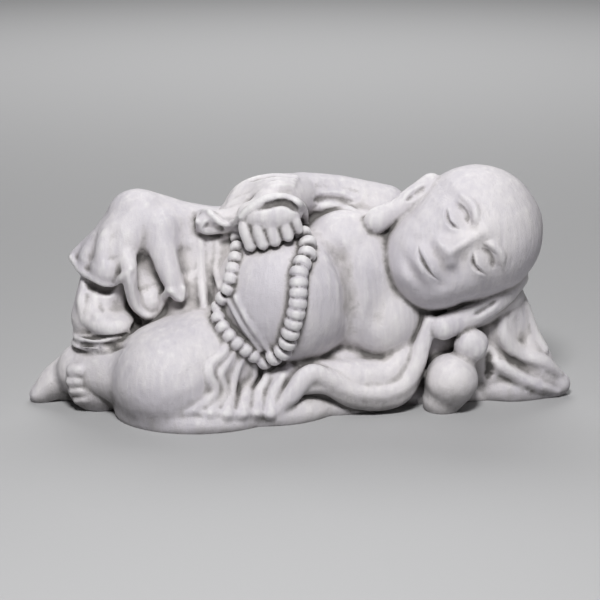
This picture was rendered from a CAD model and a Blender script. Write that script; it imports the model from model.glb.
# %% [markdown]
# A stout robed figure lying on its side, as a garden statue cast in one piece of pale stone. The real one
# starts as clay, a mould is taken of it, and the cast is brushed with a thin grey wash that stays in the
# creases. This script follows the same order: clay, folds, skin and wash, and then it sets up a studio.

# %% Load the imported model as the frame
import math

import bmesh
import bpy
import numpy as np
from mathutils import Euler, Matrix, Vector, noise
from mathutils.bvhtree import BVHTree


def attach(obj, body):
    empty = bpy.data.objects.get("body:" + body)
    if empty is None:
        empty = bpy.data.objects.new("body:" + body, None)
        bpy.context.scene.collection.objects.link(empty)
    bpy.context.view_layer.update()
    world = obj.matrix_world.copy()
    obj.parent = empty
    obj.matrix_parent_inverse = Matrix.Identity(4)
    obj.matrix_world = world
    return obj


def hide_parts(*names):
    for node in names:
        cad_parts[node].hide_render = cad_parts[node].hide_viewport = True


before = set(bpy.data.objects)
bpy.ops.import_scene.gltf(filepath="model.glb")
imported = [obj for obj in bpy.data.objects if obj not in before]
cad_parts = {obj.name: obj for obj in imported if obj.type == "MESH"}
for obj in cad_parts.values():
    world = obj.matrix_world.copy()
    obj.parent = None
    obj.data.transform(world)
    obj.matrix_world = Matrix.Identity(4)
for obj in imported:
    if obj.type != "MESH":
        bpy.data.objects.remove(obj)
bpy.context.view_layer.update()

# %% [markdown]
# Everything is drawn in millimetres of a figure 420 mm long. Most points are drawn on a pane, an upright
# sheet of glass through the middle of the figure, as seen by an eye in front of it, with the depth behind
# the pane given apart. A point further back is moved along the line of sight, to stay where it was drawn.

# %% Measures and drawing points
LENGTH = 0.420
MM = LENGTH / 420
EYE_AWAY = 1207.0
EYE_HEIGHT = 402.0


def at(x, y, z):
    """A point in the figure's own frame, drawn in millimetres."""
    return Vector((x, y, z)) * MM


def pane(x, z, depth=0.0):
    """The point at this depth that the eye sees at x, z on the pane."""
    near = -depth / EYE_AWAY
    return at(x * (1 - near), depth, z + (EYE_HEIGHT - z) * near)


def curve_through(points, steps):
    """A smooth curve through the points (Catmull-Rom), as rows of numbers."""
    p = np.array([list(q) for q in points], float)
    p = np.vstack([2 * p[0] - p[1], p, 2 * p[-1] - p[-2]])
    where = np.linspace(0, len(p) - 3, steps)
    first = np.minimum(where.astype(int), len(p) - 4)
    t = (where - first)[:, None]
    a, b, c, d = (p[first + i] for i in range(4))
    return 0.5 * (2 * b + (c - a) * t + (2 * a - 5 * b + 4 * c - d) * t**2 + (3 * b - a - 3 * c + d) * t**3)


print("one drawn millimetre:", MM, "m")

# %% [markdown]
# Clay comes in two shapes here. A lump is a ball squeezed into an ellipsoid, for bellies, knees and
# beads. A limb is a ball whose rings are strung along a smooth curve, so that it stays closed and round
# at both ends: arms, folds, hems and fingers are all limbs. Each is made first and then pressed on.

# %% Lumps of clay
LUMP_HALVINGS = 4
CAP_SHARE = 0.18
CURVE_STEPS = 200


def press_on(clay, piece):
    """Adds a piece to the clay. It is made by itself first, which is far quicker than within a big mesh."""
    mesh = bpy.data.meshes.new("piece")
    piece.to_mesh(mesh)
    piece.free()
    clay.from_mesh(mesh)
    bpy.data.meshes.remove(mesh)


def lump(clay, centre, radii, turn=(0, 0, 0), along=None, boxy=1.0):
    """An ellipsoid of clay, turned in degrees about X, Y and Z, or with its first radius along a direction.

    Under 1, boxy flattens its ends along the first radius, as on a fat disc.
    """
    spin = Euler([math.radians(angle) for angle in turn]).to_matrix().to_4x4()
    if along is not None:
        spin = along.to_track_quat("X", "Z").to_matrix().to_4x4()
    stretch = Matrix.Diagonal((*[r * MM for r in radii], 1))
    place = Matrix.Translation(centre) @ spin @ stretch
    piece = bmesh.new()
    bmesh.ops.create_icosphere(piece, subdivisions=LUMP_HALVINGS, radius=1)
    for vertex in piece.verts:
        x, y, z = vertex.co
        across = math.hypot(y, z)
        grown = across**boxy / max(across, 1e-6)
        vertex.co = place @ Vector((math.copysign(abs(x) ** boxy, x), y * grown, z * grown))
    press_on(clay, piece)

# %% Limbs along a curve
def limb_along(clay, points, radii, flat=1.0, thin=(0, -1, 0), sides=20, rings=48):
    """A round-ended roll of clay: a sphere whose rings are strung along a curve.

    flat thins it along the direction thin. At each end, CAP_SHARE of the rings make the round cap.
    """
    piece = bmesh.new()
    bmesh.ops.create_uvsphere(piece, u_segments=sides, v_segments=rings, radius=1)
    unit = np.array([v.co for v in piece.verts])
    share = np.arccos(np.clip(unit[:, 2], -1, 1)) / math.pi
    along = np.clip((share - CAP_SHARE) / (1 - 2 * CAP_SHARE), 0, 1)
    line = curve_through(points, CURVE_STEPS)
    radii = radii * 2 if len(radii) == 1 else radii
    size = curve_through([[r * MM] for r in radii], CURVE_STEPS)[:, 0]
    step = along * (CURVE_STEPS - 1)
    low = np.minimum(step.astype(int), CURVE_STEPS - 2)
    part = (step - low)[:, None]
    centre = line[low] * (1 - part) + line[low + 1] * part
    radius = size[low] * (1 - part[:, 0]) + size[low + 1] * part[:, 0]
    tangent = line[low + 1] - line[low]
    tangent /= np.linalg.norm(tangent, axis=1)[:, None]
    lean = np.clip((share - CAP_SHARE) / CAP_SHARE, -1, 0)
    lean += np.clip((share - 1 + CAP_SHARE) / CAP_SHARE, 0, 1)
    bulge = np.cos(lean * math.pi / 2) * radius
    push = np.sin(lean * math.pi / 2) * radius
    front = np.array(thin, float) - tangent * (tangent @ np.array(thin, float))[:, None]
    front /= np.maximum(np.linalg.norm(front, axis=1), 1e-9)[:, None]
    side = np.cross(tangent, front)
    turn = np.arctan2(unit[:, 1], unit[:, 0])
    out = front * (np.cos(turn) * bulge * flat)[:, None] + side * (np.sin(turn) * bulge)[:, None]
    for vertex, place in zip(piece.verts, centre + tangent * push[:, None] + out):
        vertex.co = place
    press_on(clay, piece)


def limb(clay, drawn, radii, **form):
    """A limb through points of the pane, each given as x, z and depth."""
    limb_along(clay, [pane(*point) for point in drawn], radii, **form)

# %% [markdown]
# A sculptor smears one lump into the next with a thumb. The computer's way is a voxel remesh, which turns
# all the overlapping lumps into one closed skin, and then a smoothing that only fills hollows. Plain
# smoothing would shrink the figure, so what stands out may sink only by a small share.

# %% One skin, smeared together
VOXEL = 1.0
NORMALS_EVERY = 6
SLIDE = 0.5
RISE = 0.8
SINK_SHARE = 0.25
EVEN_IN = 0.5
EVEN_OUT = 0.52


def skin_of(clay):
    """The joined lumps as one closed mesh of even squares."""
    mesh = bpy.data.meshes.new("clay")
    bmesh.ops.recalc_face_normals(clay, faces=clay.faces)
    clay.to_mesh(mesh)
    clay.free()
    block = bpy.data.objects.new("clay", mesh)
    bpy.context.scene.collection.objects.link(block)
    remesh = block.modifiers.new("skin", "REMESH")
    remesh.mode = "VOXEL"
    remesh.voxel_size = VOXEL * MM
    graph = bpy.context.evaluated_depsgraph_get()
    skin = bpy.data.meshes.new_from_object(block.evaluated_get(graph))
    bpy.data.objects.remove(block)
    bpy.data.meshes.remove(mesh)
    return skin

# %% Points and normals as arrays
def points_of(mesh):
    """The places of all vertices, as rows of numbers."""
    points = np.empty(len(mesh.vertices) * 3, np.float32)
    mesh.vertices.foreach_get("co", points)
    return points.reshape(-1, 3).astype(float)


def normals_of(mesh):
    normals = np.empty(len(mesh.vertices) * 3, np.float32)
    mesh.vertex_normals.foreach_get("vector", normals)
    return normals.reshape(-1, 3).astype(float)


def put(mesh, points):
    mesh.vertices.foreach_set("co", points.astype(np.float32).ravel())
    mesh.update()


def neighbours_of(mesh):
    """Both ends of every edge, each way round, and how many neighbours a point has."""
    edges = np.empty(len(mesh.edges) * 2, np.int32)
    mesh.edges.foreach_get("vertices", edges)
    edges = edges.reshape(-1, 2)
    ends = np.concatenate([edges[:, 0], edges[:, 1]])
    others = np.concatenate([edges[:, 1], edges[:, 0]])
    return ends, others, np.bincount(ends, minlength=len(mesh.vertices))


def towards_neighbours(points, ends, others, degree):
    """How far each point is from the mean of its neighbours."""
    sums = [np.bincount(ends, weights=points[others, k], minlength=len(points)) for k in range(3)]
    return np.stack(sums, axis=1) / degree[:, None] - points

# %% Fill creases, even out, join
def soften(mesh, rounds):
    """Fills the creases between lumps: hollows rise, and what stands out sinks by a share of that only."""
    ties = neighbours_of(mesh)
    points = points_of(mesh)
    for done in range(rounds):
        if done % NORMALS_EVERY == 0:
            put(mesh, points)
            normals = normals_of(mesh)
        pull = towards_neighbours(points, *ties)
        rise = (pull * normals).sum(1)[:, None]
        level = pull - normals * rise
        points = points + level * SLIDE + normals * np.where(rise > 0, rise, rise * SINK_SHARE) * RISE
    put(mesh, points)


def even_out(mesh, rounds):
    """Takes the fine unevenness off a surface and keeps its forms: each pull in is followed by one out."""
    ties = neighbours_of(mesh)
    points = points_of(mesh)
    for _ in range(rounds):
        points = points + towards_neighbours(points, *ties) * EVEN_IN
        points = points - towards_neighbours(points, *ties) * EVEN_OUT
    put(mesh, points)


def joined(clay, reach):
    """The clay remeshed as one skin, with creases filled over about this many millimetres."""
    mesh = skin_of(clay)
    soften(mesh, max(1, round((reach / VOXEL) ** 2)))
    print("creases filled over", reach, "mm:", len(mesh.vertices), "points")
    return mesh


def more_clay(mesh):
    """The skin so far as clay that more pieces are pressed on to."""
    clay = bmesh.new()
    clay.from_mesh(mesh)
    return clay

# %% [markdown]
# Cloth lies on a body, so its rolls and folds are drawn on the pane and dropped on to whatever the eye's
# line of sight meets there first. The back is drawn from behind in the same way, and the face from
# straight before it.

# %% Laying rolls on the surface
HEAD_FRONT = Vector((-0.05, -0.98, 0.18)).normalized()
HEAD_UP = Vector((0.857, 0, 0.514))
HEAD_UP = (HEAD_UP - HEAD_FRONT * HEAD_UP.dot(HEAD_FRONT)).normalized()
HEAD_SIDE = HEAD_FRONT.cross(HEAD_UP)
HEAD_MIDDLE = Vector((125, -8, 129)) * MM


class Surface:
    """The clay so far, as something that a line of sight meets."""

    def __init__(self, mesh):
        mesh.calc_loop_triangles()
        corners = np.empty(len(mesh.loop_triangles) * 3, np.int32)
        mesh.loop_triangles.foreach_get("vertices", corners)
        self.tree = BVHTree.FromPolygons(points_of(mesh).tolist(), corners.reshape(-1, 3).tolist())
        self.eye = at(0, -EYE_AWAY, EYE_HEIGHT)

    def seen(self, x, z, lift=0.0):
        """Where the eye sees the clay through x, z on the pane, lifted towards the eye."""
        sight = (pane(x, z) - self.eye).normalized()
        hit = self.tree.ray_cast(self.eye, sight)[0]
        return None if hit is None else hit - sight * (lift * MM)

    def behind(self, x, z, lift=0.0):
        """The same from straight behind, through x, z in the figure's own frame."""
        hit = self.tree.ray_cast(at(x, EYE_AWAY, z), Vector((0, -1, 0)))[0]
        return None if hit is None else hit + Vector((0, lift * MM, 0))

    def on_face(self, side, up, lift=0.0):
        """The same from straight before the face, at side and up from the head's middle."""
        start = HEAD_MIDDLE + (HEAD_SIDE * side + HEAD_UP * up + HEAD_FRONT * 150) * MM
        hit = self.tree.ray_cast(start, -HEAD_FRONT)[0]
        return None if hit is None else hit + HEAD_FRONT * (lift * MM)


def seen_roll(clay, look, drawn, lift, radii, **form):
    """A roll of clay laid along a drawn line, on what shows behind it."""
    found = [look(x, z, lift) for x, z in drawn]
    limb_along(clay, [point for point in found if point is not None], radii, **form)


def between(first, last, count):
    """Evenly spaced drawn lines from one to another with as many points."""
    for share in np.linspace(0, 1, count):
        yield [tuple(a * (1 - share) + b * share for a, b in zip(p, q)) for p, q in zip(first, last)]

# %% [markdown]
# A modelling tool pulled through soft clay leaves a groove that is deepest in its middle and fades at
# both ends. Each stroke here does that to the points near its line, or raises a ridge where the rise is
# positive.

# %% Strokes of the modelling tool
STROKE_STEP = 0.8
LEAST_STEPS = 12
LINE_ROUNDS = 6
END_WIDTH = 0.4


class Carving:
    """Strokes that press grooves into the clay or draw ridges out of it."""

    def __init__(self, mesh):
        self.mesh = mesh
        self.surface = Surface(mesh)
        self.points = points_of(mesh)
        self.normals = normals_of(mesh)
        self.push = np.zeros(len(self.points))

    def stroke(self, drawn, width, rise, look=None, ends=0.3):
        """Moves the clay within width of the drawn line by rise, less towards its sides and ends."""
        look = look or self.surface.seen
        length = sum(math.dist(a, b) for a, b in zip(drawn, drawn[1:]))
        steps = max(LEAST_STEPS, int(length / STROKE_STEP))
        found = [look(x, z) for x, z in curve_through(drawn, steps)]
        line = np.array([list(p) for p in found if p is not None])
        for _ in range(LINE_ROUNDS):
            line[1:-1] = (line[:-2] + 2 * line[1:-1] + line[2:]) / 4
        reach = width * MM
        inside = np.all((self.points > line.min(0) - reach) & (self.points < line.max(0) + reach), axis=1)
        picked = np.nonzero(inside)[0]
        apart = np.linalg.norm(self.points[picked][:, None] - line[None], axis=2)
        along = apart.argmin(1) / (len(line) - 1)
        fade = np.clip(np.minimum(along, 1 - along) / ends, 0, 1)
        fade = fade * fade * (3 - 2 * fade)
        share = np.clip(apart.min(1) / (reach * (END_WIDTH + (1 - END_WIDTH) * fade)), 0, 1)
        self.push[picked] += rise * MM * (1 - share**2) ** 2 * fade

    def finish(self):
        """Moves the clay by all strokes together."""
        put(self.mesh, self.points + self.normals * self.push[:, None])

# %% [markdown]
# The big masses come first, because a folded knee or a round belly is read from across a garden: torso,
# belly and chest, two legs, and the low bank of cloth that the figure lies on.

# %% Body, legs and base
def add_body(clay):
    """The torso, belly and chest, as broad masses."""
    lump(clay, at(15, 20, 78), (92, 46, 74))
    lump(clay, pane(-12, 81, -22), (54, 50, 55))
    lump(clay, pane(40, 92, 0), (50, 44, 60))
    lump(clay, pane(66, 64, -18), (30, 24, 33))
    lump(clay, pane(34, 122, -12), (30, 24, 27))
    lump(clay, pane(88, 88, 14), (34, 36, 45))
    lump(clay, at(-60, 22, 62), (70, 43, 72))
    limb(clay, [(90, 50, 12), (140, 32, 14), (185, 16, 8)], [40, 32, 20])


def add_legs(clay):
    """The right leg with its knee raised, and the left one folded on the ground."""
    limb(clay, [(-40, 112, 16), (-85, 124, 8), (-124, 141, -2)], [40, 31, 25])
    limb(clay, [(-100, 132, 0), (-92, 108, -2), (-84, 75, -8)], [24, 27, 25])
    limb(clay, [(-30, 50, 0), (-70, 32, -28), (-102, 14, -48)], [42, 42, 45])
    limb(clay, [(-106, 18, -44), (-140, 20, -34), (-170, 22, -20)], [36, 26, 21])
    limb(clay, [(-162, 26, -2), (-190, 12, -10), (-205, 1, -14)], [22, 15, 9])
    lump(clay, at(-130, 12, 25), (52, 30, 42))


def add_base(clay):
    """The low mass of cloth that the figure lies on."""
    lump(clay, at(-78, -42, 5), (64, 51, 24))
    lump(clay, at(-30, -30, 5), (60, 46, 24))
    lump(clay, at(10, -12, 4), (72, 40, 20))
    lump(clay, at(80, 10, 3), (95, 34, 16))
    lump(clay, at(-115, 8, 0), (80, 40, 24))

# %% [markdown]
# The arms lie over those masses. The right one rests along the upper side in a wide sleeve, and its hand
# hangs over the belly. The left one props the head, so that only its sleeve shows, spread on the ground.

# %% Arms
def add_arms(clay):
    """The right arm along the upper side, and the left one that props the head."""
    limb(clay, [(62, 146, 22), (32, 156, 20), (0, 159, 14)], [24, 20, 20])
    limb(clay, [(0, 159, 10), (-14, 157, -14), (-22, 150, -34)], [18, 18, 16])
    limb(clay, [(-8, 158, 6), (-34, 152, -2), (-48, 142, -10)], [20, 22, 16])
    limb(clay, [(-30, 150, -16), (-52, 142, -20), (-71, 139, -22)], [15, 10, 9])
    limb(clay, [(203, 10, 2), (184, 22, 4), (172, 48, 8), (160, 84, 12)], [10, 18, 16, 13])
    limb(clay, [(200, 6, 0), (170, 6, -2), (150, 8, 0)], [8, 16, 16])
    lump(clay, pane(156, 62, 4), (24, 18, 34))
    lump(clay, at(138, 12, 78), (30, 20, 26))

# %% The hand over the belly
def add_hand(clay):
    """The right hand, hanging over the belly out of its sleeve."""
    limb(clay, [(-38, 145, -39), (-22, 148, -43), (-8, 149, -41)], [10.5, 12.5, 10.5])
    limb(clay, [(-39, 138, -43), (-23, 141, -48), (-10, 143.5, -45)], [8, 9.5, 8])


def add_fingers(clay):
    """The back of the hand and the fingers that hold the string of beads, side by side, and the thumb."""
    lump(clay, pane(-22, 145.5, -46.5), (21.5, 11.5, 12.5), (0, -6, 0))
    lump(clay, pane(-24, 131, -48), (17, 6.5, 9), (0, -14, 0))
    fingers = [
        (-38, 148, -42.2, 136, -38, 121.5, -48, 5.2), (-29, 149, -31.8, 136, -28.5, 123, -51, 5.2),
        (-20, 150, -22.2, 137, -19.2, 125.5, -51.5, 5.2), (-12, 150, -12.2, 140, -9.2, 129, -50, 5.1),
    ]
    for root_x, root_z, x, z, tip_x, tip_z, depth, size in fingers:
        line = [(root_x, root_z, depth + 5), (x, z, depth), (tip_x, tip_z, depth - 1)]
        limb(clay, line, [size * 0.85, size, size * 0.9])
    limb(clay, [(-7.5, 148, -47), (-4, 141, -49), (-1.2, 134, -48)], [4.6, 4.4, 3.8])

# %% [markdown]
# The trouser leg hangs over the raised knee like a bell and ends in deep flutes, with the shoe under it.
# A flute is a few tapering limbs side by side, and its edge is a thin roll laid along the ends.

# %% Hanging trouser leg
def add_drape(clay):
    """The trouser leg that hangs over the raised knee in deep folds."""
    limb(clay, [(-122, 141, -4), (-139, 122, -16), (-149, 103, -27)], [24, 20, 13])
    limb(clay, [(-126, 140, -4), (-150, 124, -6), (-172, 113, -6)], [23, 14, 6])
    limb(clay, [(-128, 136, -6), (-157, 114, -14), (-164, 105, -17)], [22, 13, 8])
    limb(clay, [(-118, 134, -8), (-117, 104, -12), (-118, 78, -22)], [20, 15.5, 12])
    limb(clay, [(-108, 134, -14), (-104, 112, -26), (-99, 95, -33), (-94, 83, -34)], [18, 12, 8.5, 6.5])
    limb(clay, [(-106, 126, -4), (-104, 104, -10), (-102, 84, -16)], [20, 17, 12])
    edge = [(-135, 120, -24), (-132, 104, -36), (-131, 88, -36), (-127, 74, -32), (-119, 66, -30)]
    limb(clay, edge, [9, 6.5, 5.5, 5, 4.5])
    lump(clay, pane(-116, 66, -2), (24, 20, 26))
    lump(clay, pane(-108, 60, -10), (22, 22, 18))
    lump(clay, at(-128, 6, 100), (26, 20, 32))

# %% Both feet and the hanging hems
def add_right_foot(clay):
    """The right shin under the drape, and its shoe on a double sole."""
    limb(clay, [(-146, 106, -4), (-153, 82, -12), (-157, 64, -18)], [21, 20, 21])
    lump(clay, pane(-148, 60, -29), (20, 21, 12), (0, 10, 0))
    limb(clay, [(-163, 94, -18), (-167, 78, -27), (-163, 64, -32)], [7, 7, 9])
    for z, wider in ((52, 0), (46, 1.2)):
        lump(clay, pane(-153, z, -22), (25 + wider, 26 + wider, 3.8), (0, -3, 0))


def add_hems(clay, surface):
    """The rolled edges of the hanging trouser leg, laid along the ends of its folds."""
    front = [(-176, 112), (-169, 101), (-159, 95), (-150, 91), (-143, 92), (-137, 97), (-131, 102)]
    inner = [(-133, 99), (-131, 90), (-130, 81), (-126, 71), (-118, 65), (-111, 69), (-106, 80)]
    back = [(-106, 80), (-101, 86), (-95, 81), (-92, 79), (-91, 87)]
    for drawn, rings in ((front, 70), (inner, 70), (back, 50)):
        seen_roll(clay, surface.seen, drawn, -0.6, [2.8], sides=12, rings=rings)


def add_left_foot(clay):
    """The left foot, with its toes to the side."""
    lump(clay, pane(-160, 6, -32), (23, 15, 19), (0, 15, 0))
    for x, z, size in ((-179, 20.5, 4.9), (-180, 11.8, 4.5), (-178.5, 3.8, 4.3), (-175.5, -3.6, 4.3)):
        toe = [(x + 14, z, -38), (x + 7, z + 0.5, -42.5), (x, z, -40)]
        limb(clay, toe, [size, size, size * 0.95])

# %% [markdown]
# The head is one tapering limb, narrow at the chin, with long ears: one over the shoulder, one under the
# cheek. The face is a calm one of this script's own, on the usual proportions: eyes near half the head's
# height and one eye's width apart. It is drawn as soft hills and hollows, each a bell curve, pushed out
# of the head's front before the head is joined to the body: side and height on the head, half width, half
# height, rise and lean in degrees. A hill off the middle line is on both sides.

# %% Hills and hollows of the face
FACE = [
    (20, 14, 16, 5, 3.0, -8),
    (19, 5, 14, 9, -3.6, 0),
    (20, -0.5, 12, 6.5, 6.0, 0),
    (0, 7, 6, 12, 3.0, 0),
    (0, -6, 5.5, 10, 5.6, 0),
    (0, -16, 7.5, 6.5, 8.5, 0),
    (8.5, -18.5, 5, 4.6, 5.0, 0),
    (31, -20, 17, 15, 6.5, 0),
    (0, -34, 20, 11, 3.6, 0),
    (5.5, -31.5, 7.5, 3.4, 3.4, -8),
    (0, -39.5, 10.5, 3.8, 4.6, 0),
    (19, -32, 4, 4, -2.2, 0),
    (0, -46, 12, 3.4, -2.4, 0),
    (0, -54, 14, 8, 6.0, 0),
    (29, -44, 18, 14, 3.5, 0),
]
FACE_FINE = 56

# %% Head and ears
def raise_face(mesh):
    """Pushes the hills and hollows of the face out of the front of the head."""
    points = points_of(mesh)
    axes = np.array([list(HEAD_SIDE), list(HEAD_UP), list(HEAD_FRONT)])
    side, up, front = ((points - np.array(HEAD_MIDDLE)) @ axes.T / MM).T
    rise = np.zeros(len(points))
    for place, height, half_width, half_height, hill, lean in FACE:
        for turn in ((-1, 1) if place else (1,)):
            slope = math.radians(lean * turn)
            across = (side - place * turn) * math.cos(slope) + (up - height) * math.sin(slope)
            along = (up - height) * math.cos(slope) - (side - place * turn) * math.sin(slope)
            rise += hill * np.exp(-((across / half_width) ** 2) - (along / half_height) ** 2)
    rise *= np.clip((front - 5) / 20, 0, 1)
    put(mesh, points + (rise * MM)[:, None] * axes[2])


def add_head(clay):
    """The head with its face, the long ears, and the cloth under the cheek."""
    head = bmesh.new()
    line = [(103, 112, -13), (119, 122, -10), (135, 132.5, -7)]
    limb(head, line, [41, 47, 51], flat=0.94, sides=240, rings=160)
    mesh = bpy.data.meshes.new("head")
    head.to_mesh(mesh)
    head.free()
    raise_face(mesh)
    clay.from_mesh(mesh)
    bpy.data.meshes.remove(mesh)
    right_ear = [(100, 169, -6), (88, 160, -12), (74, 149, -17), (59, 141, -22)]
    limb(clay, right_ear, [9, 9, 8.5, 10], flat=0.8)
    left_ear = [(168, 96, -12), (154, 79, -20), (134, 66, -27), (112, 56, -34)]
    limb(clay, left_ear, [9, 9, 9.5, 10], flat=0.8)
    limb(clay, [(160, 82, -2), (135, 71, -8), (106, 64, -12)], [14, 15, 15])

# %% [markdown]
# The robe is open. Its thick border runs from the skirt under the belly up to the neck, with a thinner
# layer of cloth behind it, and a gourd stands on the ground beside it.

# %% Robe and border
def add_inner_robe(clay):
    """The layer of cloth between the belly and the robe's border."""
    layer = [(-16, 14, -50), (6, 16, -46), (40, 14, -40), (68, 17, -34), (86, 38, -28)]
    limb(clay, layer, [12, 13, 15, 14, 10])
    lump(clay, pane(58, 26, -14), (40, 24, 16))
    lump(clay, pane(26, 28, -20), (30, 24, 16))


def add_lapel(clay):
    """The open robe's thick border, from the skirt under the belly up to the neck."""
    border = [
        (-19, -15, -70), (-7, 0, -66), (7, 17, -60), (20, 14, -56), (40, 4, -52),
        (62, 1, -49), (80, 7, -45), (91, 24, -40), (96, 42, -36), (102, 60, -32),
    ]
    limb(clay, border, [5, 7, 8, 8, 8, 8, 7.5, 7, 6.5, 6], flat=0.8, rings=100)
    under = [(2, 7, -61), (21, 9, -54), (41, -1, -50), (62, -4, -47), (80, 2, -43), (92, 20, -37)]
    limb(clay, under, [6, 8, 8.5, 8.5, 8, 6], flat=0.8, rings=80)
    lump(clay, pane(98, 66, -20), (9, 10, 9))

# %% Gourd
def add_gourd(clay):
    """The gourd, with a round belly and a small head, leaning back on the cloth."""
    lump(clay, pane(119, 13, -36), (20.5, 21, 20.5))
    lump(clay, pane(106, 34, -8), (16, 16, 30))
    lump(clay, pane(134, 42, -31), (12.5, 12, 12.5), (0, 28, 0), boxy=0.78)
    limb(clay, [(122, 19, -34), (135, 41, -30)], [12, 8])
    limb(clay, [(118, 10, -35), (112, -4, -34)], [20, 15])

# %% [markdown]
# The hand comes out of a wide sleeve with a rolled mouth, and the skirt falls from the belly in pleats.
# The sleeve under the head and the back of the robe have long, soft folds, the back's plainer than the
# rest.

# %% Sleeve mouth and folds
def add_sleeve_hem(clay, surface):
    """The wide mouth of the sleeve that the hand comes out of, with a flaring corner."""
    look = surface.seen
    over_hand = [(4, 138), (3.5, 147), (-1, 154), (-8, 158), (-17, 159), (-27, 157), (-37, 151), (-45, 144)]
    seen_roll(clay, look, over_hand, 2.4, [2.6, 3.2, 3.6, 3.8, 3.8, 3.6, 3.4, 3], sides=12, rings=90)
    corner = [(-45, 144), (-52, 138.5), (-59.5, 138.5), (-65, 143), (-70, 147.5), (-76, 147), (-78.5, 140)]
    seen_roll(clay, look, corner, 0.8, [3, 2.6, 2.6, 2.6, 2.8, 2.6, 2.2], sides=12, rings=90)
    lower = [(-78.5, 140), (-77, 132), (-71, 127.5), (-62, 126.5), (-54, 129.5), (-48, 134)]
    seen_roll(clay, look, lower, -1.0, [2.2], sides=12, rings=60)
    lowest = [(-55, 152), (-38, 159), (-20, 166), (-6, 167)]
    highest = [(-49, 165), (-38, 171), (-20, 174.5), (-3, 174)]
    for line in between(lowest, highest, 4):
        seen_roll(clay, look, line, -1.2, [2.6, 3.4, 3.4, 2.6])


def add_sleeve_folds(clay, surface):
    """Ridges of the sleeve that stands under the head and spreads on the ground."""
    look = surface.seen
    seen_roll(clay, look, [(157, 68), (160, 48), (172, 35), (190, 28), (203, 18)], -2.5, [4, 6.5, 7, 6, 4])
    seen_roll(clay, look, [(176, 74), (182, 54), (191, 38)], -1.5, [3, 4.5, 4])
    seen_roll(clay, look, [(150, 28), (160, 23), (173, 15), (188, 8), (202, 4)], -2.5, [4, 6.5, 7, 6, 4])


def add_back_folds(clay, surface):
    """Long folds of the robe from the shoulder down across the back, plainer than those in front."""
    look = surface.behind
    first = [(88, 134), (64, 98), (44, 58), (36, 22)]
    last = [(12, 146), (-34, 122), (-84, 86), (-122, 40)]
    for number, line in enumerate(between(first, last, 6)):
        size = 6 if number % 2 else 8.5
        seen_roll(clay, look, line, -size * 0.45, [size * 0.6, size, size, size * 0.6], flat=0.6, rings=80)
    neck = [(100, 156), (86, 130), (86, 102), (100, 76), (126, 60)]
    seen_roll(clay, look, neck, -1.5, [4, 4.5, 4.5, 4.5, 4])
    seen_roll(clay, look, [(-98, 142), (-120, 112), (-132, 84), (-138, 56)], -3, [4, 7, 7, 4], flat=0.6)
    seen_roll(clay, look, [(-76, 128), (-104, 92), (-124, 50)], -3, [4, 7, 4], flat=0.6)

# %% Pleats and sash
def add_skirt(clay, surface):
    """Pleats of the skirt that fall from the belly to the ground, and the sash above them."""
    look = surface.seen
    pleats = [
        ([(-64, 52), (-59, 44), (-60, 35), (-70, 26), (-72, 16), (-68, 5), (-73, -4), (-84, -12)],
         [2.6, 3, 3.2, 3.8, 4.2, 4.6, 5.2, 4.2]),
        ([(-52, 37), (-56, 28), (-63, 18), (-61, 5), (-64, -6), (-71, -15)], [2.6, 3, 3.6, 4.2, 5, 4.8]),
        ([(-45, 31), (-50, 21), (-54, 10), (-56, -1), (-58, -15)], [2.8, 3.6, 4.6, 5.4, 5.4]),
        ([(-36, 27), (-37, 16), (-42, 7), (-43.5, -2), (-46, -15)], [2.8, 3.8, 4.8, 5.4, 5.4]),
        ([(-24, 26), (-26, 13), (-32, 1), (-35, -14)], [3.4, 4.4, 5.4, 5.4]),
        ([(-9, 22), (-17, 10), (-22, -3), (-24, -15)], [4, 5, 5.6, 5.4]),
    ]
    for line, radii in pleats:
        seen_roll(clay, look, line, -1.0, radii, flat=0.85, rings=80)
    lump(clay, pane(-13, 3, -50), (13, 14, 16))
    edge = [(-90, -14), (-79, -14), (-71, -17), (-65, -14), (-57, -17.5), (-51, -15), (-45, -17.5),
            (-40, -14.5), (-34, -17), (-29, -14), (-22, -17)]
    seen_roll(clay, look, edge, -1, [2.4, 3, 3, 3, 3, 3, 3, 3, 3, 3, 2.4], rings=100)
    for shift in (0, 6.5):
        seen_roll(clay, look, [(-56 + shift, 80), (-46 + shift, 60), (-31 + shift, 38)], -0.3, [2.6])
    for x, top, foot in ((-76, 126, 72), (-69.5, 124, 80), (-63, 124, 88)):
        seen_roll(clay, look, [(x, top), (x - 0.5, 103), (x + 1.5, foot)], -1.5, [2.6, 4.0, 3.0])

# %% [markdown]
# Prayer beads hang from the hand in a loop. On the near side they are fat discs, on the far side they are
# smaller. They are cast with the figure, so each is pressed a little way into the belly.

# %% Prayer beads
BEAD_PITCH = 8.0
BEAD_FRONT = 7.0
BEAD_SIDE = 5.6
BEAD_RAISED = 0.35
BEAD_BOXY = 0.57


def string_beads(clay, surface, drawn, half_width, pitch):
    """Discs of clay side by side along a drawn line."""
    line = curve_through(drawn, 400)
    walked = np.concatenate([[0], np.cumsum(np.linalg.norm(np.diff(line, axis=0), axis=1))])
    stations = np.linspace(0, walked[-1], int(walked[-1] / pitch) + 1)
    drawn = zip(*(np.interp(stations, walked, side) for side in line.T))
    spots = [surface.seen(x, z, half_width * BEAD_RAISED) for x, z in drawn]
    spots = [spot for spot in spots if spot is not None]
    for i, spot in enumerate(spots):
        run = spots[min(i + 1, len(spots) - 1)] - spots[max(i - 1, 0)]
        lump(clay, spot, (pitch * 0.5, half_width, half_width), along=run, boxy=BEAD_BOXY)


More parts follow.
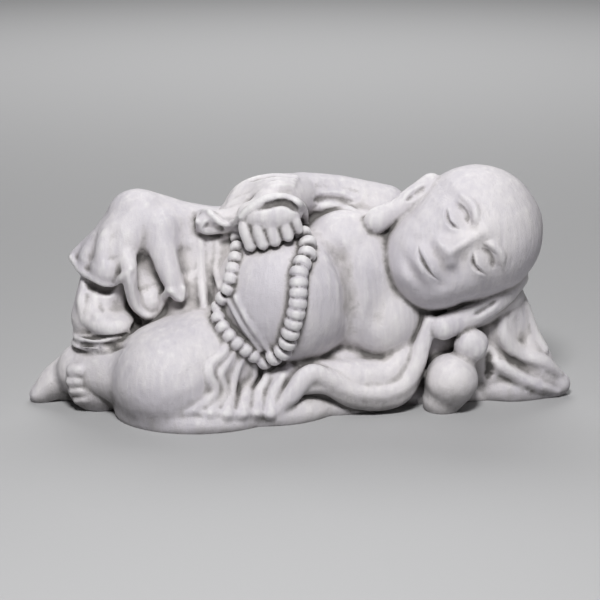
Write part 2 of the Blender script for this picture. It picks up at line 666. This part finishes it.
def add_beads(clay, surface):
    """The string of prayer beads that hangs from the hand in a loop over the belly."""
    left = [(-48, 128), (-49, 116), (-53, 100), (-55.5, 88), (-62, 76), (-64, 66), (-59, 54), (-48, 42),
            (-36, 33)]
    right = [(2, 130), (6, 122), (5, 112), (0, 104), (-1, 92), (-1.5, 78), (-4, 64), (-8, 50), (-13, 37),
             (-28, 29)]
    string_beads(clay, surface, left, BEAD_SIDE, BEAD_PITCH)
    string_beads(clay, surface, right, BEAD_FRONT, BEAD_PITCH)

# %% [markdown]
# The last strokes are the finest: creases of flesh and cloth, the hollows beside the folds of the back,
# and the closed lids and the mouth. The squares of the skin are halved over the face first, so that its
# lines stay clean.

# %% Folds and creases
def carve_body(stroke):
    """The two long folds of flesh beside the belly."""
    stroke([(12, 130), (30, 112), (38, 94), (40, 70), (44, 46)], 14, -3.0)
    stroke([(54, 108), (60, 86), (61, 66), (56, 48)], 13, -1.6)


def carve_sleeves(stroke):
    """The inside of the sleeve's mouth, and the creases of both sleeves."""
    stroke([(1, 145), (-4, 151), (-13, 155), (-24, 152.5), (-36, 147)], 4, -2.2)
    stroke([(8, 156), (24, 159.5), (44, 156)], 5, -2.4)
    stroke([(8, 149), (26, 152), (48, 148)], 6, 2.2)
    stroke([(-75, 138), (-67, 134), (-56, 133.5)], 6.5, -2.6, ends=0.2)
    stroke([(8, 168), (30, 168), (50, 162)], 8, -1.6)
    stroke([(149, 40), (149, 24), (148, 10)], 6, -3.0)
    stroke([(160, 33), (168, 27), (182, 20), (196, 15)], 7, -1.2)
    stroke([(168, 70), (172, 54), (180, 40)], 7, -1.4)


def carve_legs(stroke):
    """The flutes of the hanging trouser leg, and the lines of the wrapped foot."""
    stroke([(-121, 122), (-119, 106), (-117, 92), (-116, 80)], 12, -2.6)
    stroke([(-170, 95), (-160, 88), (-150, 85), (-140, 90)], 5, -3.0)
    stroke([(-156, 136), (-162, 119), (-164, 106)], 9, -1.4)
    stroke([(-140, 140), (-146, 120), (-144, 104)], 9, -1.8)
    stroke([(-149, 140), (-154, 120), (-154, 102)], 8, 1.0)
    stroke([(-92, 126), (-88, 110), (-86, 94)], 10, -1.8)
    stroke([(-127, 64), (-128, 58), (-132, 50)], 5, -3.0)
    stroke([(-165, 92), (-168, 74), (-170, 60)], 5, -1.2)
    stroke([(-141, 84), (-143, 70), (-147, 60)], 8, -1.2)
    stroke([(-158, 88), (-160, 72), (-156, 60)], 6, 1.4)
    stroke([(-178, 49), (-160, 47.5), (-142, 49), (-128, 52)], 2.6, -2.0)
    stroke([(-178, 42), (-160, 38), (-130, 41)], 6, -2.6)

# %% Strokes on the back, closed lids and mouth
def carve_back(carving):
    """Hollows beside the folds of the back."""
    stroke, look = carving.stroke, carving.surface.behind
    first = [(76, 120), (54, 84), (40, 50)]
    last = [(-14, 128), (-66, 98), (-104, 62)]
    for line in between(first, last, 5):
        stroke(line, 10, -2.4, look, ends=0.45)


def carve_face(carving):
    """Closed lids, brows and a soft closed mouth, then the hollow of each ear."""
    stroke, look = carving.stroke, carving.surface.on_face
    for turn in (-1, 1):
        stroke([(turn * 8.5, 0.5), (turn * 19, -5), (turn * 31, 0.5)], 2.8, -2.4, look, ends=0.35)
        stroke([(turn * 9, 6.5), (turn * 19, 9.5), (turn * 31, 5.5)], 3, -1.4, look)
        stroke([(turn * 6, 9), (turn * 12, 14), (turn * 22, 17), (turn * 35, 11)], 4.5, 1.8, look)
    stroke([(-18, -31), (-9, -35), (0, -35.5), (9, -35), (18, -31)], 2.2, -2.0, look, ends=0.4)
    stroke([(98, 169), (88, 162), (79, 155)], 4, -2.2)
    stroke([(156, 80), (144, 71), (133, 64)], 4, -1.8)


def refine(mesh, middle, reach):
    """Halves the squares of the skin within reach of a point, for finer strokes there."""
    form = bmesh.new()
    form.from_mesh(mesh)
    near = [edge for edge in form.edges if (edge.verts[0].co - middle).length < reach * MM]
    bmesh.ops.subdivide_edges(form, edges=near, cuts=1, use_grid_fill=True)
    form.to_mesh(mesh)
    form.free()

# %% [markdown]
# The underside is sawn flat, as on the cast. Pockets of air closed off by the lumps are thrown away.

# %% Flat underside
def cut_underside(mesh, height):
    """Cuts the underside flat at this height and drops the shells of clay closed within the figure."""
    form = bmesh.new()
    form.from_mesh(mesh)
    geometry = form.verts[:] + form.edges[:] + form.faces[:]
    floor = Vector((0, 0, height))
    below = {"plane_co": floor, "plane_no": (0, 0, -1), "clear_outer": True}
    bmesh.ops.bisect_plane(form, geom=geometry, dist=1e-6, **below)
    rim = [edge for edge in form.edges if edge.is_boundary]
    bmesh.ops.holes_fill(form, edges=rim, sides=0)
    bmesh.ops.triangulate(form, faces=form.faces)
    bmesh.ops.delete(form, geom=loose_shells(form), context="VERTS")
    form.to_mesh(mesh)
    form.free()


def loose_shells(form):
    """Every vertex that isn't on the biggest shell."""
    left = set(form.verts)
    shells = []
    while left:
        edge_of_walk = [left.pop()]
        shell = list(edge_of_walk)
        while edge_of_walk:
            vertex = edge_of_walk.pop()
            near = [edge.other_vert(vertex) for edge in vertex.link_edges]
            fresh = [other for other in near if other in left]
            left.difference_update(fresh)
            edge_of_walk += fresh
            shell += fresh
        shells.append(shell)
    shells.sort(key=len)
    return [vertex for shell in shells[:-1] for vertex in shell]

# %% [markdown]
# Smearing softens all that is there, so the work goes in four stages, and what is added later is smeared
# less: the big masses over about 8 mm, arms and hanging cloth over half of that, and fingers and beads
# over hardly more than a millimetre. The tool's strokes come last, and then the fine unevenness of the
# squares is taken off.

# %% Model the figure
SMEARED = {"masses": 7.7, "limbs": 3.4, "cloth": 2.4, "beads": 1.4}
FACE_AHEAD = 40
EVEN_ROUNDS = 3


def sculpt():
    """The whole figure in clay, as one closed mesh."""
    clay = bmesh.new()
    add_body(clay)
    add_legs(clay)
    add_base(clay)
    mesh = joined(clay, SMEARED["masses"])

    clay = more_clay(mesh)
    add_arms(clay)
    add_drape(clay)
    add_right_foot(clay)
    add_inner_robe(clay)
    add_hand(clay)
    mesh = joined(clay, SMEARED["limbs"])

    clay = more_clay(mesh)
    surface = Surface(mesh)
    add_hems(clay, surface)
    add_lapel(clay)
    add_left_foot(clay)
    add_head(clay)
    add_gourd(clay)
    add_skirt(clay, surface)
    add_sleeve_hem(clay, surface)
    add_sleeve_folds(clay, surface)
    add_back_folds(clay, surface)
    mesh = joined(clay, SMEARED["cloth"])

    clay = more_clay(mesh)
    add_fingers(clay)
    add_beads(clay, Surface(mesh))
    mesh = joined(clay, SMEARED["beads"])
    refine(mesh, HEAD_MIDDLE + HEAD_FRONT * (FACE_AHEAD * MM), FACE_FINE)
    carving = Carving(mesh)
    for carve in (carve_body, carve_sleeves, carve_legs):
        carve(carving.stroke)
    carve_back(carving)
    carve_face(carving)
    carving.finish()
    even_out(mesh, EVEN_ROUNDS)
    cut_underside(mesh, 0.0)
    return mesh


clay_mesh = sculpt()
print("clay:", len(clay_mesh.vertices), "points")

# %% [markdown]
# Nothing modelled by hand is as smooth as a formula. A little noise pushes the skin in and out by a
# fraction of a millimetre, in broad waves as left by fingers and in finer ones as left by a brush.

# %% Uneven as hand work
HAND_WAVES = ((14.0, 0.34), (5.5, 0.13), (2.4, 0.05))
STILL_NEAR_FLOOR = 4


def uneven(mesh):
    """Pushes the skin by noise: each wave has a size and a rise in millimetres."""
    points, normals = points_of(mesh), normals_of(mesh)
    push = np.zeros(len(points))
    for size, rise in HAND_WAVES:
        push += [noise.noise(Vector(place)) * rise * MM for place in points / (size * MM)]
    push *= np.clip(points[:, 2] / (STILL_NEAR_FLOOR * MM), 0, 1)
    put(mesh, points + normals * push[:, None])
    return np.abs(push).max() / MM


print("uneven by up to", round(uneven(clay_mesh), 2), "mm")

# %% [markdown]
# The grey wash is brushed on thin and wiped off the high places, so it stays where the surface is hollow.
# How hollow a point is can be measured: let the surface relax for a while and see how far the point would
# rise. A few rounds find the sharp creases, many find the broad hollows, and what would sink is a worn
# edge.

# %% Measure the creases
CREASE = (8, 0.30)
HOLLOW = (70, 1.3)
RELAX = 0.6


def rise_when_relaxed(mesh, rounds, full):
    """How far each point rises in some rounds of relaxing, as a share of full millimetres."""
    ties = neighbours_of(mesh)
    start = points_of(mesh)
    points = start.copy()
    for _ in range(rounds):
        points = points + towards_neighbours(points, *ties) * RELAX
    return ((points - start) * normals_of(mesh)).sum(1) / (full * MM)


def store(mesh, name, values):
    """Keeps a number for each point in the mesh, for the material to read."""
    attribute = mesh.attributes.new(name, "FLOAT", "POINT")
    attribute.data.foreach_set("value", values.astype(np.float32))


crease = rise_when_relaxed(clay_mesh, *CREASE)
hollow = rise_when_relaxed(clay_mesh, *HOLLOW)
store(clay_mesh, "crease", np.clip(crease, 0, 1))
store(clay_mesh, "edge", np.clip(-crease, 0, 1))
store(clay_mesh, "hollow", np.clip(hollow, 0, 1))
print("creases:", round(float((crease > 0.5).mean()), 3), "of the surface")

# %% [markdown]
# The clay has far more faces than it needs on its smooth parts. A Decimate modifier merges them where
# little is lost, and it carries the measured creases along.

# %% Thin out the cast
TRIANGLES = 190000
FLAT_BY = 0.4


def thin_out(figure):
    """Brings the figure down to about TRIANGLES, most of them left where it is lively."""
    decimate = figure.modifiers.new("thin", "DECIMATE")
    decimate.ratio = TRIANGLES / len(figure.data.polygons)
    decimate.use_collapse_triangulate = True
    graph = bpy.context.evaluated_depsgraph_get()
    figure.data = bpy.data.meshes.new_from_object(figure.evaluated_get(graph))
    figure.modifiers.clear()


def settle(mesh):
    """Moves the figure until the middle of its underside is the origin."""
    points = points_of(mesh)
    low, high = points.min(0), points.max(0)
    put(mesh, points - [(low[0] + high[0]) / 2, (low[1] + high[1]) / 2, low[2]])


figure = bpy.data.objects.new("cast_statue", clay_mesh)
bpy.context.scene.collection.objects.link(figure)
thin_out(figure)
cut_underside(figure.data, FLAT_BY * MM)
drawn_at = points_of(figure.data).min(0)
settle(figure.data)
moved = Vector(points_of(figure.data).min(0) - drawn_at)
figure.data.shade_smooth()
print("cast:", len(figure.data.polygons), "triangles, moved by", [round(c, 5) for c in moved])

# %% [markdown]
# The wash also stays where a brush or a rag can't reach: under the hanging cloth, between the beads and
# behind the gourd. Rays sent out from each point tell how much of its view is shut off nearby. The sides
# low down that lean inwards are seldom wiped either, and height and slope are enough to find those.

# %% Measure the shelter
RAYS = 16
SHELTER_REACH = 16
RAY_START = 0.3
SPREAD_ROUNDS = 4
SHELTER_GAIN = 1.8
LOW_BELOW = 44
LOW_FADE = 36
LOW_SLOPE = 0.35


def sheltered(mesh):
    """The share of rays from each point that hit the figure itself within reach."""
    tree = Surface(mesh).tree
    points, normals = points_of(mesh), normals_of(mesh)
    golden = math.pi * (3 - math.sqrt(5))
    heights = (np.arange(RAYS) + 0.5) / RAYS
    rings = np.sqrt(1 - heights)
    turns = np.arange(RAYS) * golden
    fan = np.stack([np.cos(turns) * rings, np.sin(turns) * rings, np.sqrt(heights)], axis=1)
    sideways = np.where(np.abs(normals[:, 2:]) < 0.9, [[0, 0, 1]], [[1, 0, 0]])
    first = np.cross(normals, sideways)
    first /= np.linalg.norm(first, axis=1)[:, None]
    second = np.cross(normals, first)
    starts = (points + normals * (RAY_START * MM)).tolist()
    shut = np.zeros(len(points))
    for x, y, z in fan:
        ways = (first * x + second * y + normals * z).tolist()
        hits = [tree.ray_cast(start, way, SHELTER_REACH * MM)[3] for start, way in zip(starts, ways)]
        shut += [0 if far is None else 1 - far / (SHELTER_REACH * MM) for far in hits]
    return shut / RAYS


shelter = sheltered(figure.data)
ties = neighbours_of(figure.data)
for _ in range(SPREAD_ROUNDS):
    shelter += towards_neighbours(shelter[:, None].repeat(3, axis=1), *ties)[:, 0] * 0.5
store(figure.data, "shelter", np.clip(shelter * SHELTER_GAIN, 0, 1))
slope, height = normals_of(figure.data)[:, 2], points_of(figure.data)[:, 2] / MM
leaning = np.clip((LOW_SLOPE - slope) / (2 * LOW_SLOPE), 0, 1)
store(figure.data, "low", leaning * np.clip((LOW_BELOW - height) / LOW_FADE, 0, 1))
print("shelter:", np.round(np.percentile(shelter, (50, 90, 99)), 2))

# %% [markdown]
# Shader maths reads best as plain sums. This small class wraps the socket of a node, so that an
# expression such as 1 - mask adds the Math node that it needs.

# %% Shader sums
class Sum:
    """A socket that can be added, multiplied and so on."""

    def __init__(self, tree, socket):
        self.tree = tree
        self.socket = socket

    def math(self, operation, *others):
        return node(self.tree, "ShaderNodeMath", {"operation": operation}, [self, *others])

    def __add__(self, other):
        return self.math("ADD", other)

    __radd__ = __add__

    def __mul__(self, other):
        return self.math("MULTIPLY", other)

    __rmul__ = __mul__

    def __sub__(self, other):
        return self.math("SUBTRACT", other)

    def __rsub__(self, other):
        return node(self.tree, "ShaderNodeMath", {"operation": "SUBTRACT"}, [other, self])

    def held(self):
        """The same, kept between 0 and 1."""
        return node(self.tree, "ShaderNodeMath", {"operation": "ADD", "use_clamp": True}, [self, 0.0])


def node(tree, kind, settings, inputs, output=0):
    """Adds a node, sets it up, fills its inputs by place or by name, and returns one of its outputs."""
    made = tree.nodes.new(kind)
    for name, value in settings.items():
        setattr(made, name, value)
    pairs = inputs.items() if isinstance(inputs, dict) else enumerate(inputs)
    for name, value in pairs:
        if isinstance(value, Sum):
            tree.links.new(value.socket, made.inputs[name])
        else:
            made.inputs[name].default_value = value
    return Sum(tree, made.outputs[output])


MIX_SHARE, MIX_FIRST, MIX_SECOND, MIX_RESULT = 0, 6, 7, 2


def blend(tree, share, first, second):
    """Mixes two colours. A Mix node has sockets of one name for every kind of data, so they go by number."""
    settings = {"data_type": "RGBA", "blend_type": "MIX", "clamp_factor": True}
    sockets = {MIX_SHARE: share, MIX_FIRST: first, MIX_SECOND: second}
    return node(tree, "ShaderNodeMix", settings, sockets, MIX_RESULT)

# %% [markdown]
# Cast stone is pale, matt and a little uneven: cloudy where the wash was wiped, darker in the creases,
# with fine grain, a few pits left by air in the mould, and brush marks. Noise on Object coordinates gives
# all of it at real scale, and the measured hollows say where the wash stays.

# %% Tints and patterns of the stone
PALE = (0.72, 0.69, 0.70, 1)
COOL = (0.56, 0.535, 0.575, 1)
WARM = (0.50, 0.455, 0.42, 1)
WASH = (0.115, 0.108, 0.104, 1)
WORN = (0.80, 0.795, 0.785, 1)
BROAD_WAVES = 13
PATCH_WAVES = 52
GRAIN_WAVES = 1100
PIT_WAVES = 230
PIT_SIZE = 0.27
BRUSH_WAVES = (210, 210, 34)
BUMP_SHARE = 0.7
BUMP_DEPTH = 0.0009


def clouds(tree, place, scale, detail):
    """Noise with so many waves to the metre."""
    return node(tree, "ShaderNodeTexNoise", {}, {"Vector": place, "Scale": scale, "Detail": detail})


def measured(tree, name):
    """A number that was stored in the mesh."""
    return node(tree, "ShaderNodeAttribute", {"attribute_name": name}, {}, "Fac")

# %% Pale cast stone with a grey wash
def brush_marks(tree, place, lean):
    """Long thin marks, as a brush leaves them, leaning by some degrees."""
    turn = [math.radians(angle) for angle in lean]
    turned = node(tree, "ShaderNodeMapping", {}, {"Vector": place, "Rotation": turn, "Scale": BRUSH_WAVES})
    return clouds(tree, turned, 1, 4)


def cast_stone():
    """Pale stone under a thin wash: each tint is laid over the one before by its own mask."""
    material = bpy.data.materials.new("cast_stone")
    material.use_nodes = True
    tree = material.node_tree
    surface = tree.nodes["Principled BSDF"]
    place = node(tree, "ShaderNodeTexCoord", {}, {}, "Object")
    broad = clouds(tree, place, BROAD_WAVES, 4)
    patches = clouds(tree, place, PATCH_WAVES, 6)
    grain = clouds(tree, place, GRAIN_WAVES, 2)
    marks = brush_marks(tree, place, (10, 38, 0)) * 0.6 + brush_marks(tree, place, (-8, -24, 40)) * 0.4
    crease, edge, hollow, shelter, low = (
        measured(tree, name) for name in ("crease", "edge", "hollow", "shelter", "low"))
    tint = blend(tree, ((broad - 0.38) * 3.2 + (marks - 0.5) * 1.8).held(), COOL, PALE)
    tint = blend(tree, (hollow * 0.55 + shelter * 0.4).held() * (patches * 1.4).held(), tint, WARM)
    wash = crease * 0.85 + (shelter - 0.14) * 0.85 + low * 0.8 + (patches - 0.57) * 0.6 + (marks - 0.52) * 0.6
    wash = (wash + (grain - 0.5) * 0.2).held()
    tint = blend(tree, wash, tint, WASH)
    tint = blend(tree, (edge * 0.6 + (marks - 0.62) * 1.4 - shelter * 0.6 - low * 0.8).held(), tint, WORN)
    tree.links.new(tint.socket, surface.inputs["Base Color"])
    rough = 0.6 + wash * 0.2 + (grain - 0.5) * 0.14 + (patches - 0.5) * 0.12
    tree.links.new(rough.socket, surface.inputs["Roughness"])
    cells = node(tree, "ShaderNodeTexVoronoi", {}, {"Vector": place, "Scale": PIT_WAVES, "Randomness": 1.0})
    pits = (PIT_SIZE - cells).held() * (patches - 0.48).held() * 10
    height = grain * 0.4 + marks * 1.5 + patches * 1.6 - pits
    relief = {"Strength": BUMP_SHARE, "Distance": BUMP_DEPTH, "Height": height}
    bump = node(tree, "ShaderNodeBump", {}, relief)
    tree.links.new(bump.socket, surface.inputs["Normal"])
    return material


figure.data.materials.clear()
figure.data.materials.append(cast_stone())
print("stone:", len(figure.data.materials[0].node_tree.nodes), "nodes")
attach(figure, "root")
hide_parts("statue")

# %% [markdown]
# The studio is plain, so that nothing competes with the form: a pale floor that runs back as far as the
# eye sees, a soft lamp high before the figure, a weak one at its side, and a very wide one above the
# floor behind it, for the upper edges and an even background. The standard view keeps the stone's greys
# as they are.

# %% Floor and lamps
FLOOR = (0.42, 0.42, 0.425, 1)
FLOOR_REACH = 7
FLOOR_ROUGH = 0.9
GLOW = 0.04
MIDDLE = (0, 0, 0.08)


def pale_floor():
    """One flat square, which is no part of the figure."""
    form = bmesh.new()
    bmesh.ops.create_grid(form, x_segments=1, y_segments=1, size=FLOOR_REACH)
    mesh = bpy.data.meshes.new("floor")
    form.to_mesh(mesh)
    form.free()
    floor = bpy.data.objects.new("floor", mesh)
    bpy.context.scene.collection.objects.link(floor)
    material = bpy.data.materials.new("floor")
    material.use_nodes = True
    surface = material.node_tree.nodes["Principled BSDF"]
    surface.inputs["Base Color"].default_value = FLOOR
    surface.inputs["Roughness"].default_value = FLOOR_ROUGH
    mesh.materials.append(material)


def soft_lamp(name, place, aim, size, watts):
    """A round lamp of this size at a place, turned to what it lights."""
    light = bpy.data.lights.new(name, "AREA")
    light.shape = "DISK"
    light.size = size
    light.energy = watts
    lamp = bpy.data.objects.new(name, light)
    lamp.location = place
    lamp.rotation_mode = "QUATERNION"
    lamp.rotation_quaternion = (Vector(aim) - Vector(place)).to_track_quat("-Z", "Y")
    bpy.context.scene.collection.objects.link(lamp)


pale_floor()
soft_lamp("key", (-0.05, -0.84, 1.1), MIDDLE, 0.32, 17.5)
soft_lamp("side", (1.2, -0.5, 0.9), MIDDLE, 0.6, 0.7)
soft_lamp("back", (0.0, 2.4, 2.3), (0, 2.9, 0), 2.8, 78)
world = bpy.data.worlds.new("studio")
world.use_nodes = True
world.node_tree.nodes["Background"].inputs["Color"].default_value = (1, 1, 1, 1)
world.node_tree.nodes["Background"].inputs["Strength"].default_value = GLOW
bpy.context.scene.world = world
bpy.context.scene.view_settings.view_transform = "Standard"

# %% [markdown]
# The camera stands where the eye does, 1.25 m from the figure and 15 degrees above the level, with a long
# lens, so that the drawn points fall where they were drawn.

# %% Camera at the eye
CAMERA_AWAY = 1.25
CAMERA_UP = math.radians(15)
CAMERA_AIM = 0.078
VIEW_WIDE = 0.466
SENSOR = 36

lens = bpy.data.cameras.new("camera")
lens.sensor_width = SENSOR
lens.sensor_height = SENSOR
lens.sensor_fit = "HORIZONTAL"
lens.lens = SENSOR * CAMERA_AWAY / VIEW_WIDE
camera = bpy.data.objects.new("camera", lens)
back = Vector((0, -math.cos(CAMERA_UP), math.sin(CAMERA_UP)))
camera.location = Vector((0, 0, CAMERA_AIM)) + back * CAMERA_AWAY + moved
camera.rotation_mode = "QUATERNION"
camera.rotation_quaternion = (-back).to_track_quat("-Z", "Y")
bpy.context.scene.collection.objects.link(camera)
bpy.context.scene.camera = camera
print("camera:", round(lens.lens, 1), "mm lens at", [round(c, 3) for c in camera.location])
